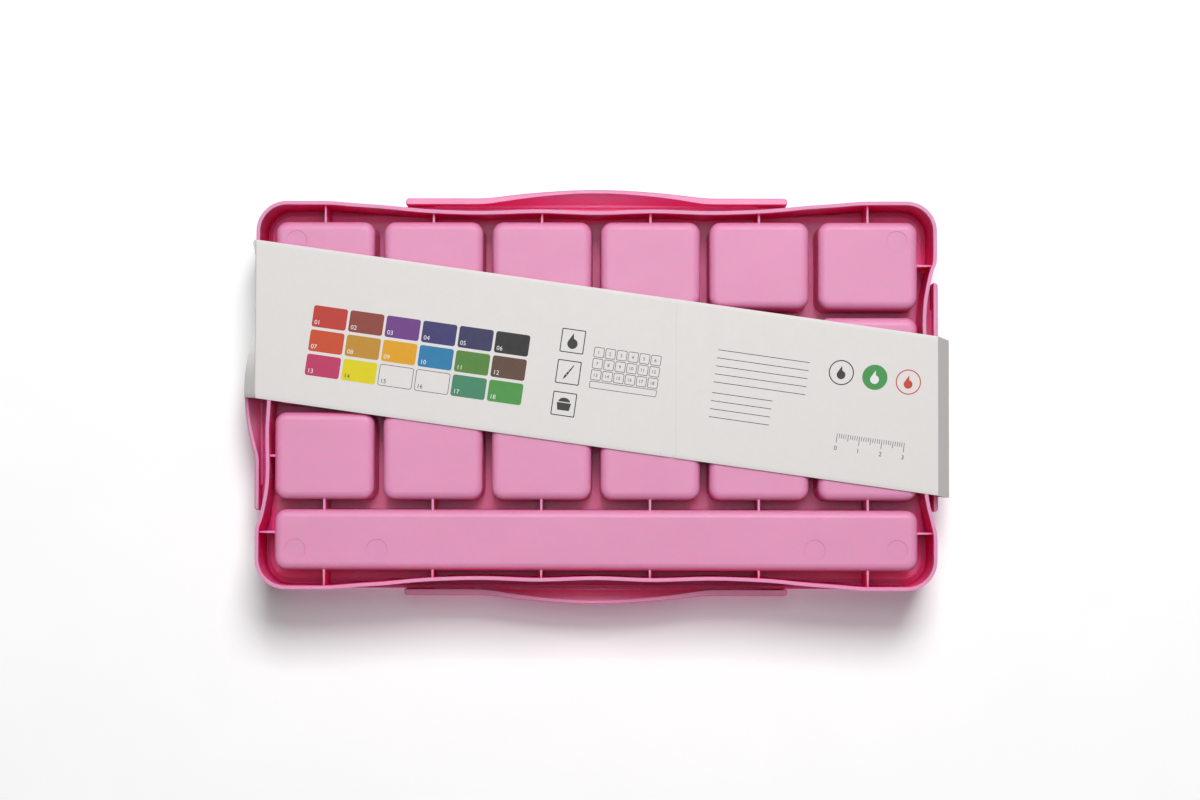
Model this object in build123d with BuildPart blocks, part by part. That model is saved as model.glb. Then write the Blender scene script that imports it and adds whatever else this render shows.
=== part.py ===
from build123d import *
import os

# Gouache paint set box: a rigid tray with hanging wells, a lift-off lid with four swing latches, eighteen
# refill cups with their paint, a mixing palette and the card band that closes the set.
# Millimetres, +Z up.  The lid is on top, +X runs along the box and the brush trough is at the front (-Y).
# The origin is the middle of the underside of the card band, on which the box stands.
# Insets are measured inwards from the box outline, and "outward" distances run the other way.

# --- Box outline and heights --------------------------------------------------------------------
BOX_LENGTH = 303.0  # X, over the straight outer walls
BOX_DEPTH = 173.0  # Y, over the straight outer walls
CORNER_R = 13.5  # vertical corners of the outline
TRAY_HEIGHT = 35.6  # skirt rim to the plane where tray and lid part
LID_HEIGHT = 10.0  # parting plane to the top of the lid
WALL = 1.6  # outer walls and skirt
RUN_GAP = 0.3  # clearance between pieces that come apart

# --- Tray ---------------------------------------------------------------------------------------
CATCH_BAND = 8.0  # height of the straight wall under the parting plane, whose lower edge is the catch
TOP_PLATE = 1.5  # tray's top plate between the outer wall and the step
STEP_WALL = 1.5  # upright webs and ledges between top plate, palette ledge and deck
PALETTE_INSET = 4.5  # walls of the palette's recess
PALETTE_DROP = 3.0  # parting plane to the palette ledge
DECK_INSET = 5.7  # walls of the deck's recess
DECK_DROP = 6.0  # parting plane to the top of the deck
DECK_THICK = 1.5
LONG_WAVE = (  # (distance from the middle of a long side, inset of the skirt there)
    (0, 4.5), (25, 3.7), (48, 4.4), (66, 4.1), (80, 3.3), (94, 1.9), (107, 1.0), (122, 0),
)  # fmt: skip
SHORT_WAVE = (  # the same for the short ends
    (0, 5.2), (16, 4.5), (31, 4.8), (42, 4.3), (50, 2.9), (57, 1.1), (64, 0),
)  # fmt: skip

# --- Wells, trough and ribs -----------------------------------------------------------------------
WELL_COLUMNS = 6
WELL_ROWS = 3
END_MARGIN = 8.5  # outline to the outermost wells at each end, all margins at the wells' bottoms
BACK_MARGIN = 9.2  # outline to the rear wells
FRONT_MARGIN = 8.7  # outline to the trough
WELL_GAP_X = 4.1  # between the columns
WELL_GAP_Y = 4.0  # between the rows
TROUGH_GAP = 4.6  # between the front row and the trough
TROUGH_DEPTH = 26.8  # front to back
TROUGH_MARGIN = 8.5  # outline to the trough's ends
WELL_CORNER_R = 5.2
WELL_EDGE_R = 3.4  # rounding of the bottom edge
WELL_WALL = 1.5
WELL_RISE = 0.6  # well bottoms stand this far above the skirt rim
WELL_DRAFT = 0.7  # degrees, opening upwards
RIB = 1.0  # thickness at the wells
RIB_TIP = 0.6  # thickness at the skirt
RIB_RISE = 2.6  # lower edge of the ribs above the skirt rim
TROUGH_RIB_OFF = 3.3  # the trough's end ribs stand this far behind its middle
EJECTOR_R = 4.6  # round marks under the rear corner wells and the trough
EJECTOR_DEEP = 0.15
EJECTOR_INSET = 17.8  # their middles inside the outline
EJECTOR_PITCH = 36.5  # from each of the trough's end marks to the next

# --- Cups and paint -------------------------------------------------------------------------------
CUP_WALL = 0.8
CUP_FLANGE = 0.8  # thickness of the flange that hangs on the deck
CUP_FLANGE_LAP = 1.4  # flange overhang beyond the well opening
CUP_EDGE_R = 1.4  # rounding inside the cup's bottom edge
FILM = 0.2  # peel-off film on each cup
PAINT_HEADROOM = 1.0  # paint surface below the film
PAINT_FIT = 0.05  # paint clear of its cup

# --- Palette --------------------------------------------------------------------------------------
PALETTE_FLOOR = 1.2
PALETTE_WALL = 1.4
PALETTE_RIM = 7.8  # walls and dividers above the palette's floor
SMALL_PAN_DEPTH = 46.0  # front to back, in the rear row
SMALL_PANS = 6
LARGE_PANS = 3
PAN_R = 3.0

# --- Lid ------------------------------------------------------------------------------------------
LID_EDGE_R = 1.6
PANEL_INSET = 16.0  # shallow panel on top of the lid
PANEL_DEEP = 0.6
LIP_WALL = 1.4  # locating lip inside the palette recess
SEAL_INSET = 2.0
SEAL_WIDTH = 2.0
SEAL_HEIGHT = 1.4
SEAL_SEAT = 0.4  # depth of the seal's groove in the tray
SEAL_FIT = 0.05  # seal clear of the sides of its groove
SEAL_RIB = 1.4  # rib of the lid that presses on the seal

# --- Latches --------------------------------------------------------------------------------------
LONG_LATCH = 172.0
LONG_CATCH = 147.0
LONG_FLARE = 54.0  # half the length of the finger scoop
LONG_EDGE = 2.7  # thickness of the free edge at the ends
SHORT_LATCH = 103.0
SHORT_CATCH = 80.0
SHORT_FLARE = 30.0
SHORT_EDGE = 1.9
LATCH_WALL = 1.6
LATCH_EDGE_R = 1.0
BARREL_R = 1.6
BARREL_INSET = 1.9  # hinge axis inside the outline
BARREL_DROP = 3.1  # hinge axis below the top of the lid
ARM_WALL = 1.8
PIN_R = 0.9
PIN_LENGTH = 3.0
PIN_FIT = 0.2  # pin clear of its hole all round
HOOK_GAP = 0.2  # hook below the catch
CATCH_GRIP = 0.6  # the hook reaches this far under the tray's outer wall
CATCH_HEIGHT = 1.8
LIP_DROP = 19.0  # parting plane to the latch's free edge
SCOOP_HEIGHT = 9.5  # height over which the latch flares
LIP_REACH = 6.8  # the middle of the free edge, outward
LIP_EDGE_MID = 1.6  # thickness of the free edge there
LIP_CHAMFER = 0.5  # along the outside of the free edge
LIP_END_R = 1.6  # rounding of the scoop's outer corners, seen from below
FLARE_SHAPE = ((0.15, 0.97), (0.37, 0.81), (0.59, 0.55), (0.77, 0.26))  # (share of half length, of flare)
LATCHES = {  # length of the latch, of its hook, half that of its scoop, and its free edge's end thickness
    "front": (LONG_LATCH, LONG_CATCH, LONG_FLARE, LONG_EDGE),
    "back": (LONG_LATCH, LONG_CATCH, LONG_FLARE, LONG_EDGE),
    "left": (SHORT_LATCH, SHORT_CATCH, SHORT_FLARE, SHORT_EDGE),
    "right": (SHORT_LATCH, SHORT_CATCH, SHORT_FLARE, SHORT_EDGE),
}

# --- Card band ------------------------------------------------------------------------------------
CARD = 0.4
BAND_WIDTH = 70.0
BAND_SKEW = 8.0  # degrees, seen from above
BAND_Y = 12.5
BAND_FIT = 0.3  # card clear of what it goes round, at the ends and on top

# --- Levels and insets that follow ----------------------------------------------------------------
RIM_Z = CARD
PARTING_Z = RIM_Z + TRAY_HEIGHT
LID_TOP_Z = PARTING_Z + LID_HEIGHT
LID_CEILING_Z = LID_TOP_Z - WALL
CATCH_Z = PARTING_Z - CATCH_BAND
LEDGE_Z = PARTING_Z - PALETTE_DROP
DECK_Z = PARTING_Z - DECK_DROP
DECK_UNDER_Z = DECK_Z - DECK_THICK
WELL_Z = RIM_Z + WELL_RISE
CUP_Z = WELL_Z + WELL_WALL + RUN_GAP
CUP_TOP_Z = DECK_Z + CUP_FLANGE
SEAL_TOP_Z = PARTING_Z - SEAL_SEAT + SEAL_HEIGHT
LIP_INSET = PALETTE_INSET + RUN_GAP
LIP_INNER = LIP_INSET + LIP_WALL
AXIS_Z = LID_TOP_Z - BARREL_DROP
POCKET_Z = AXIS_Z - BARREL_R - RUN_GAP
POCKET_INSET = BARREL_INSET + BARREL_R + RUN_GAP
LIP_Z = PARTING_Z - LIP_DROP
SCOOP_Z = LIP_Z + SCOOP_HEIGHT
PLATE_OUT = RUN_GAP + LATCH_WALL  # outer face of a latch, outward
ARM_TOP_Z = AXIS_Z + ARM_WALL / 2
CUT_ABOVE = 5.0  # how far cuts run past the face that they open

# --- Places of the wells and the trough -------------------------------------------------------------
WELL_LENGTH = (BOX_LENGTH - 2 * END_MARGIN - (WELL_COLUMNS - 1) * WELL_GAP_X) / WELL_COLUMNS
ROWS_DEPTH = BOX_DEPTH - BACK_MARGIN - FRONT_MARGIN - TROUGH_DEPTH - TROUGH_GAP
WELL_DEPTH = (ROWS_DEPTH - (WELL_ROWS - 1) * WELL_GAP_Y) / WELL_ROWS
TROUGH_LENGTH = BOX_LENGTH - 2 * TROUGH_MARGIN
TROUGH_Y = -BOX_DEPTH / 2 + FRONT_MARGIN + TROUGH_DEPTH / 2
FIRST_WELL_X = BOX_LENGTH / 2 - END_MARGIN - WELL_LENGTH / 2
FIRST_WELL_Y = BOX_DEPTH / 2 - BACK_MARGIN - WELL_DEPTH / 2
COLUMN_X = [FIRST_WELL_X - i * (WELL_LENGTH + WELL_GAP_X) for i in range(WELL_COLUMNS)]
ROW_Y = [FIRST_WELL_Y - i * (WELL_DEPTH + WELL_GAP_Y) for i in range(WELL_ROWS)]
WELL_PLACES = [(x, y) for y in ROW_Y for x in COLUMN_X]
MARK_X, MARK_Y = BOX_LENGTH / 2 - EJECTOR_INSET, BOX_DEPTH / 2 - EJECTOR_INSET
MARKS = [(turn * x, y) for turn in (1, -1)
         for x, y in ((MARK_X, MARK_Y), (MARK_X, -MARK_Y), (MARK_X - EJECTOR_PITCH, -MARK_Y))]  # fmt: skip

os.makedirs("parts", exist_ok=True)


def outline(inset):
    """The box outline at an inset, drawn in the current sketch."""
    RectangleRounded(BOX_LENGTH - 2 * inset, BOX_DEPTH - 2 * inset, CORNER_R - inset)


def skirt(inset):
    """The wavy outline of the skirt, a given distance inside its outer face, as a flat sketch."""
    half_x, half_y, r = BOX_LENGTH / 2 - inset, BOX_DEPTH / 2 - inset, CORNER_R - inset

    def wave(points):
        return [(-d, w) for d, w in reversed(points[1:])] + list(points)

    with BuildSketch() as face:
        with BuildLine():
            for turn in (1, -1):
                top = [(turn * d, turn * (half_y - w)) for d, w in wave(LONG_WAVE)]
                end = [(turn * (half_x - w), -turn * d) for d, w in wave(SHORT_WAVE)]
                Spline(*top, tangents=((turn, 0), (turn, 0)))
                Line(top[-1], (turn * (half_x - r), turn * half_y))
                RadiusArc((turn * (half_x - r), turn * half_y), (turn * half_x, turn * (half_y - r)), r)
                Line((turn * half_x, turn * (half_y - r)), end[0])
                Spline(*end, tangents=((0, -turn), (0, -turn)))
                Line(end[-1], (turn * half_x, -turn * (half_y - r)))
                RadiusArc((turn * half_x, -turn * (half_y - r)), (turn * (half_x - r), -turn * half_y), r)
                Line((turn * (half_x - r), -turn * half_y), (top[-1][0], -turn * half_y))
        make_face()
    return face.sketch


def tub(z, height, length, depth, corner_r, edge_r):
    """A drafted block with rounded corners that stands on z, rounded round its bottom edge."""
    with BuildPart() as block:
        with BuildSketch(Plane.XY.offset(z)):
            RectangleRounded(length, depth, corner_r)
        extrude(amount=height, taper=-WELL_DRAFT)
        fillet(block.faces().sort_by(Axis.Z)[0].edges(), edge_r)
    return block.part


def side_plane(name):
    """The middle of one side of the outline at z = 0: X along the side, Y outward."""
    return {
        "back": Plane((0, BOX_DEPTH / 2, 0), x_dir=(1, 0, 0), z_dir=(0, 0, 1)),
        "front": Plane((0, -BOX_DEPTH / 2, 0), x_dir=(-1, 0, 0), z_dir=(0, 0, 1)),
        "right": Plane((BOX_LENGTH / 2, 0, 0), x_dir=(0, -1, 0), z_dir=(0, 0, 1)),
        "left": Plane((-BOX_LENGTH / 2, 0, 0), x_dir=(0, 1, 0), z_dir=(0, 0, 1)),
    }[name]


def section_plane(side, along):
    """The upright plane across a side, at a distance along it: X outward, Y up."""
    return Plane(side.origin, x_dir=side.y_dir, z_dir=side.x_dir).offset(along)


# --- Tray -----------------------------------------------------------------------------------------
well = tub(WELL_Z, DECK_Z - WELL_Z, WELL_LENGTH, WELL_DEPTH, WELL_CORNER_R, WELL_EDGE_R)
well_hollow = tub(
    WELL_Z + WELL_WALL, PARTING_Z - WELL_Z - WELL_WALL,
    WELL_LENGTH - 2 * WELL_WALL, WELL_DEPTH - 2 * WELL_WALL,
    WELL_CORNER_R - WELL_WALL, WELL_EDGE_R - WELL_WALL,
)  # fmt: skip
trough = tub(WELL_Z, DECK_Z - WELL_Z, TROUGH_LENGTH, TROUGH_DEPTH, WELL_CORNER_R, WELL_EDGE_R)
trough_hollow = tub(
    WELL_Z + WELL_WALL, PARTING_Z - WELL_Z - WELL_WALL,
    TROUGH_LENGTH - 2 * WELL_WALL, TROUGH_DEPTH - 2 * WELL_WALL,
    WELL_CORNER_R - WELL_WALL, WELL_EDGE_R - WELL_WALL,
)  # fmt: skip


def ribs():
    """The ribs from the middle of the skirt's wall to the wells and the trough, seen from above."""
    half_x, half_y = BOX_LENGTH / 2, BOX_DEPTH / 2
    well_end, wells_back, trough_front = half_x - END_MARGIN, half_y - BACK_MARGIN, FRONT_MARGIN - half_y

    def tapered(length):
        root = (RIB / 2, -WELL_CORNER_R), (RIB / 2, 0)
        tip = (RIB_TIP / 2, length), (-RIB_TIP / 2, length)
        Polygon(*root, *tip, (-RIB / 2, 0), (-RIB / 2, -WELL_CORNER_R), align=None)

    with BuildSketch() as lines:
        for x in COLUMN_X:
            with Locations((x, (TROUGH_Y + ROW_Y[-1]) / 2)):
                Rectangle(RIB, ROW_Y[-1] - TROUGH_Y)
            with Locations(Location((x, wells_back, 0))):
                tapered(BACK_MARGIN)
            with Locations(Location((x, trough_front, 0), (0, 0, 180))):
                tapered(FRONT_MARGIN)
        for y in (*ROW_Y, TROUGH_Y + TROUGH_RIB_OFF):
            for turn in (1, -1):
                with Locations(Location((turn * well_end, y, 0), (0, 0, -turn * 90))):
                    tapered(END_MARGIN)
        add(skirt(WALL / 2), mode=Mode.INTERSECT)
    return lines.sketch


with BuildPart() as tray:
    with BuildSketch(Plane.XY.offset(CATCH_Z)):
        outline(0)
    extrude(amount=CATCH_BAND)
    with BuildSketch(Plane.XY.offset(RIM_Z)):
        add(skirt(0))
    extrude(amount=TRAY_HEIGHT - TOP_PLATE)
    # the space under the deck, inside the skirt
    with BuildSketch(Plane.XY.offset(RIM_Z)):
        add(skirt(WALL))
    extrude(amount=DECK_UNDER_Z - RIM_Z, mode=Mode.SUBTRACT)
    # the slot between the catch wall and the skirt, where the hooks swing, up to the palette ledge
    with BuildSketch(Plane.XY.offset(CATCH_Z)):
        outline(WALL)
        add(skirt(0), mode=Mode.SUBTRACT)
    extrude(amount=LEDGE_Z - STEP_WALL - CATCH_Z, mode=Mode.SUBTRACT)
    # the channels above the deck's level, one for each step
    for step_inset, ceiling in (
        (DECK_INSET - STEP_WALL, LEDGE_Z - STEP_WALL),
        (PALETTE_INSET - STEP_WALL, PARTING_Z - TOP_PLATE),
    ):
        with BuildSketch(Plane.XY.offset(DECK_UNDER_Z)):
            add(skirt(WALL))
            RectangleRounded(
                BOX_LENGTH - 2 * step_inset, BOX_DEPTH - 2 * step_inset, CORNER_R - step_inset,
                mode=Mode.SUBTRACT,
            )  # fmt: skip
        extrude(amount=ceiling - DECK_UNDER_Z, mode=Mode.SUBTRACT)
    with BuildSketch(Plane.XY.offset(RIM_Z + RIB_RISE)):
        add(ribs())
    extrude(amount=DECK_Z - RIM_Z - RIB_RISE)
    with Locations(*WELL_PLACES):
        add(well)
    with Locations((0, TROUGH_Y)):
        add(trough)
    # recesses for the palette and the cups' flanges, open at the top
    for recess_inset, floor_z in ((PALETTE_INSET, LEDGE_Z), (DECK_INSET, DECK_Z)):
        with BuildSketch(Plane.XY.offset(floor_z)):
            outline(recess_inset)
        extrude(amount=PARTING_Z - floor_z, mode=Mode.SUBTRACT)
    with BuildSketch(Plane.XY.offset(PARTING_Z - SEAL_SEAT)):
        outline(SEAL_INSET)
        RectangleRounded(
            BOX_LENGTH - 2 * (SEAL_INSET + SEAL_WIDTH), BOX_DEPTH - 2 * (SEAL_INSET + SEAL_WIDTH),
            CORNER_R - SEAL_INSET - SEAL_WIDTH, mode=Mode.SUBTRACT,
        )  # fmt: skip
    extrude(amount=SEAL_SEAT, mode=Mode.SUBTRACT)
    with Locations(*WELL_PLACES):
        add(well_hollow, mode=Mode.SUBTRACT)
    with Locations((0, TROUGH_Y)):
        add(trough_hollow, mode=Mode.SUBTRACT)
    # ejector marks, shallow dishes in the undersides
    with Locations(*[(x, y, WELL_Z + EJECTOR_DEEP / 2) for x, y in MARKS]):
        Cylinder(EJECTOR_R, EJECTOR_DEEP, mode=Mode.SUBTRACT)
tray.part.label = "base_tray"
export_step(tray.part, "parts/base_tray.step")

# --- Seal in the tray's rim -------------------------------------------------------------------------
with BuildPart() as seal:
    with BuildSketch(Plane.XY.offset(PARTING_Z - SEAL_SEAT)):
        outline(SEAL_INSET + SEAL_FIT)
        RectangleRounded(
            BOX_LENGTH - 2 * (SEAL_INSET + SEAL_WIDTH - SEAL_FIT),
            BOX_DEPTH - 2 * (SEAL_INSET + SEAL_WIDTH - SEAL_FIT),
            CORNER_R - SEAL_INSET - SEAL_WIDTH + SEAL_FIT, mode=Mode.SUBTRACT,
        )  # fmt: skip
    extrude(amount=SEAL_HEIGHT)
seal.part.label = "rim_seal"
export_step(seal.part, "parts/rim_seal.step")

# --- Cups and paint ---------------------------------------------------------------------------------
CUP_LENGTH = WELL_LENGTH - 2 * (WELL_WALL + RUN_GAP)
CUP_DEPTH = WELL_DEPTH - 2 * (WELL_WALL + RUN_GAP)
CUP_CORNER_R = WELL_CORNER_R - WELL_WALL - RUN_GAP
FLANGE_OVER = CUP_FLANGE_LAP - WELL_WALL  # flange beyond the outside of the well


def cup_inside(z, top_z, fit):
    """The space inside a cup from z to top_z, smaller by a fit all round."""
    shrink = CUP_WALL + fit
    length, depth = CUP_LENGTH - 2 * shrink, CUP_DEPTH - 2 * shrink
    return tub(z, top_z - z, length, depth, CUP_CORNER_R - shrink, CUP_EDGE_R - fit)


with BuildPart() as cup:
    add(tub(CUP_Z, CUP_TOP_Z - CUP_Z, CUP_LENGTH, CUP_DEPTH, CUP_CORNER_R, CUP_EDGE_R + CUP_WALL))
    with BuildSketch(Plane.XY.offset(DECK_Z)):
        RectangleRounded(
            WELL_LENGTH + 2 * FLANGE_OVER, WELL_DEPTH + 2 * FLANGE_OVER, CUP_CORNER_R + CUP_FLANGE_LAP
        )
    extrude(amount=CUP_FLANGE)
    add(cup_inside(CUP_Z + CUP_WALL, CUP_TOP_Z + CUT_ABOVE, 0), mode=Mode.SUBTRACT)
with BuildPart() as film:
    with BuildSketch(Plane.XY.offset(CUP_TOP_Z)):
        add(cup.faces().filter_by(Axis.Z).sort_by(Axis.Z)[-1].without_holes())
    extrude(amount=FILM)
paint = cup_inside(CUP_Z + CUP_WALL + PAINT_FIT, CUP_TOP_Z - PAINT_HEADROOM, PAINT_FIT)

for number, (x, y) in enumerate(WELL_PLACES, start=1):
    place = Location((x, y, 0))
    pieces = [cup.part.moved(place), film.part.moved(place)]
    sealed_cup = Compound(label=f"cup_{number:02d}", children=pieces)
    export_step(sealed_cup, f"parts/cup_{number:02d}.step")
    filling = paint.moved(place)
    filling.label = f"paint_{number:02d}"
    export_step(filling, f"parts/paint_{number:02d}.step")

# --- Palette ----------------------------------------------------------------------------------------
PALETTE_Z = LEDGE_Z
PAN_FLOOR_Z = PALETTE_Z + PALETTE_FLOOR
PAN_INSET = LIP_INNER + RUN_GAP + PALETTE_WALL
PAN_LENGTH = BOX_LENGTH - 2 * PAN_INSET
PAN_DEPTH = BOX_DEPTH - 2 * PAN_INSET
SMALL_PAN = (PAN_LENGTH - (SMALL_PANS - 1) * PALETTE_WALL) / SMALL_PANS
LARGE_PAN = (PAN_LENGTH - (LARGE_PANS - 1) * PALETTE_WALL) / LARGE_PANS
LARGE_PAN_DEPTH = PAN_DEPTH - SMALL_PAN_DEPTH - PALETTE_WALL

with BuildPart() as palette:
    with BuildSketch(Plane.XY.offset(PALETTE_Z)):
        outline(PALETTE_INSET + RUN_GAP)
    extrude(amount=PALETTE_FLOOR)
    with BuildSketch(Plane.XY.offset(PAN_FLOOR_Z)):
        outline(PAN_INSET - PALETTE_WALL)
    extrude(amount=PALETTE_RIM)
    with BuildSketch(Plane.XY.offset(PAN_FLOOR_Z)):
        with Locations((0, (PAN_DEPTH - SMALL_PAN_DEPTH) / 2)):
            with GridLocations(SMALL_PAN + PALETTE_WALL, 0, SMALL_PANS, 1):
                RectangleRounded(SMALL_PAN, SMALL_PAN_DEPTH, PAN_R)
        with Locations((0, (LARGE_PAN_DEPTH - PAN_DEPTH) / 2)):
            with GridLocations(LARGE_PAN + PALETTE_WALL, 0, LARGE_PANS, 1):
                RectangleRounded(LARGE_PAN, LARGE_PAN_DEPTH, PAN_R)
    extrude(amount=PALETTE_RIM, mode=Mode.SUBTRACT)
palette.part.label = "mixing_palette"
export_step(palette.part, "parts/mixing_palette.step")

# --- Lid --------------------------------------------------------------------------------------------
PIN_ROOM = PIN_LENGTH + RUN_GAP  # depth of the pin holes beyond the pocket
BOSS = PIN_ROOM + WALL  # length of the solid ends of each pocket

with BuildPart() as lid:
    with BuildSketch(Plane.XY.offset(PARTING_Z)):
        outline(0)
    extrude(amount=LID_HEIGHT)
    fillet(lid.faces().sort_by(Axis.Z)[-1].edges(), LID_EDGE_R)
    with BuildSketch(Plane.XY.offset(PARTING_Z)):
        outline(WALL)
    extrude(amount=LID_HEIGHT - WALL, mode=Mode.SUBTRACT)
    # locating lip and sealing rib, hanging from the top
    for ring_inset, ring_wall, foot_z in (
        (LIP_INSET, LIP_WALL, PAN_FLOOR_Z + RUN_GAP),
        (SEAL_INSET + (SEAL_WIDTH - SEAL_RIB) / 2, SEAL_RIB, SEAL_TOP_Z),
    ):
        inner = ring_inset + ring_wall
        with BuildSketch(Plane.XY.offset(foot_z)):
            outline(ring_inset)
            RectangleRounded(
                BOX_LENGTH - 2 * inner, BOX_DEPTH - 2 * inner, CORNER_R - inner, mode=Mode.SUBTRACT
            )
        extrude(amount=LID_CEILING_Z - foot_z)
    # a solid block behind each latch, with its pocket and pin holes
    for name, (length, *_) in LATCHES.items():
        side = side_plane(name)
        with BuildSketch(side.offset(POCKET_Z - WALL)):
            with Locations((0, -LIP_INNER / 2)):
                Rectangle(length + 2 * (RUN_GAP + BOSS), LIP_INNER)
        extrude(amount=LID_CEILING_Z - POCKET_Z + WALL)
        with BuildSketch(side.offset(POCKET_Z)):
            with Locations((0, -POCKET_INSET / 2)):
                Rectangle(length + 2 * RUN_GAP, POCKET_INSET)
        extrude(amount=LID_TOP_Z - POCKET_Z, mode=Mode.SUBTRACT)
        with BuildSketch(section_plane(side, -length / 2 - RUN_GAP - PIN_ROOM)):
            with Locations((-BARREL_INSET, AXIS_Z)):
                Circle(PIN_R + PIN_FIT)
        extrude(amount=length + 2 * (RUN_GAP + PIN_ROOM), mode=Mode.SUBTRACT)
    with BuildSketch(Plane.XY.offset(LID_TOP_Z - PANEL_DEEP)):
        RectangleRounded(BOX_LENGTH - 2 * PANEL_INSET, BOX_DEPTH - 2 * PANEL_INSET, CORNER_R)
    extrude(amount=PANEL_DEEP, mode=Mode.SUBTRACT)
lid.part.label = "lid"
export_step(lid.part, "parts/lid.step")


# --- Latches ----------------------------------------------------------------------------------------
def lip_profile(half, flare_half, outer_end, reach, edge_mid, corner_r):
    """One level of the latch's scoop, seen from above: straight ends and a bowed middle."""
    inner_end = RUN_GAP

    def bow(base, rise):
        points = [(-flare_half, base)]
        points += [(-share * flare_half, base + part * rise) for share, part in reversed(FLARE_SHAPE)]
        points += [(0, base + rise)]
        return points + [(-d, o) for d, o in reversed(points[:-1])]

    outer = bow(outer_end, reach - outer_end)
    inner = bow(inner_end, reach - edge_mid - inner_end)
    flat = half - corner_r  # half the straight ends' reach along the side
    with BuildSketch() as profile:
        with BuildLine():
            Line((-flat, outer_end), outer[0])
            Spline(*outer, tangents=((1, 0), (1, 0)))
            Line(outer[-1], (flat, outer_end))
            RadiusArc((flat, outer_end), (half, outer_end - corner_r), corner_r)
            Line((half, outer_end - corner_r), (half, inner_end))
            Line((half, inner_end), inner[-1])
            Spline(*reversed(inner), tangents=((-1, 0), (-1, 0)))
            Line(inner[0], (-half, inner_end))
            Line((-half, inner_end), (-half, outer_end - corner_r))
            RadiusArc((-half, outer_end - corner_r), (-flat, outer_end), corner_r)
        make_face()
    return profile.sketch


def make_latch(side, length, catch, flare_half, edge_end):
    """A latch: barrel with two pins, arm, plate with its hook, and the flared finger scoop."""
    hook_z = CATCH_Z - HOOK_GAP
    half, lip_out = length / 2, RUN_GAP + edge_end
    with BuildPart() as latch:
        with BuildSketch(section_plane(side, -half)):
            with BuildLine():
                Polyline(
                    (RUN_GAP, SCOOP_Z), (PLATE_OUT, SCOOP_Z), (PLATE_OUT, ARM_TOP_Z),
                    (-BARREL_INSET, ARM_TOP_Z), (-BARREL_INSET, ARM_TOP_Z - ARM_WALL),
                    (RUN_GAP, ARM_TOP_Z - ARM_WALL), close=True,
                )  # fmt: skip
            make_face()
        extrude(amount=length)
        # round the plate's outer edges: the long one at the top and the two upright ones
        outward = Axis(side.origin, side.y_dir)
        long_edges = latch.edges().filter_by(Axis(side.origin, side.x_dir))
        uprights = latch.edges().filter_by(Axis.Z).group_by(outward)[-1]
        fillet([long_edges.group_by(Axis.Z)[-1].sort_by(outward)[-1], *uprights], LATCH_EDGE_R)
        with BuildSketch(section_plane(side, -half)):
            with Locations((-BARREL_INSET, AXIS_Z)):
                Circle(BARREL_R)
        extrude(amount=length)
        with BuildSketch(section_plane(side, -half - PIN_LENGTH)):
            with Locations((-BARREL_INSET, AXIS_Z)):
                Circle(PIN_R)
        extrude(amount=length + 2 * PIN_LENGTH)
        with BuildSketch(section_plane(side, -catch / 2)):
            with BuildLine():
                Polyline(
                    (PLATE_OUT, hook_z), (-CATCH_GRIP, hook_z), (-CATCH_GRIP, hook_z - CATCH_HEIGHT / 2),
                    (RUN_GAP, hook_z - CATCH_HEIGHT), (PLATE_OUT, hook_z - CATCH_HEIGHT), close=True,
                )  # fmt: skip
            make_face()
        extrude(amount=catch)
        # the scoop, level by level: under the plate, above the chamfer and at the free edge
        for z, cut, out, reach, edge_mid, corner_r in (
            (SCOOP_Z, 0, PLATE_OUT, PLATE_OUT, LATCH_WALL, LATCH_EDGE_R),
            (LIP_Z + LIP_CHAMFER, 0, lip_out, LIP_REACH, LIP_EDGE_MID, LIP_END_R),
            (LIP_Z, LIP_CHAMFER, lip_out, LIP_REACH, LIP_EDGE_MID, LIP_END_R),
        ):
            with BuildSketch(side.offset(z)):
                less = [value - cut for value in (out, reach, edge_mid, corner_r)]
                add(lip_profile(half - cut, flare_half, *less))
        loft(ruled=True)
    return latch.part


for name, sizes in LATCHES.items():
    closure = make_latch(side_plane(name), *sizes)
    closure.label = f"latch_{name}"
    export_step(closure, f"parts/latch_{name}.step")


# --- Card band --------------------------------------------------------------------------------------
def band_section(swell):
    """Half of the loop round the box, grown by the card's thickness or not, as (X, Z) points."""
    end = BOX_LENGTH / 2 + BAND_FIT + swell
    return [
        (end, RIM_Z - swell),
        (end + LIP_REACH, LIP_Z),
        (end + LIP_REACH, LIP_Z + LATCH_WALL),
        (end + PLATE_OUT, ARM_TOP_Z),
        (end, LID_TOP_Z + BAND_FIT + swell),
    ]


with BuildPart() as band:
    with BuildSketch(Plane.XZ):
        for swell, mode in ((CARD, Mode.ADD), (0, Mode.SUBTRACT)):
            right = band_section(swell)
            with BuildLine():
                Polyline(*right, *[(-x, z) for x, z in reversed(right)], close=True)
            make_face(mode=mode)
    extrude(amount=BOX_DEPTH, both=True)
    with BuildSketch(Plane.XY):
        with Locations(Location((0, BAND_Y, 0), (0, 0, BAND_SKEW))):
            Rectangle(2 * BOX_LENGTH, BAND_WIDTH)
    extrude(amount=2 * LID_TOP_Z, mode=Mode.INTERSECT)
band.part.label = "belly_band"
export_step(band.part, "parts/belly_band.step")
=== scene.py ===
"""Looks of a gouache paint set box: finishes for the moulded pieces, the printed card band and the stage."""

import logging
import math
from dataclasses import dataclass
from enum import Enum
from typing import Callable, Iterable, Sequence

import bmesh
import bpy
from mathutils import Matrix, Vector


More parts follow.
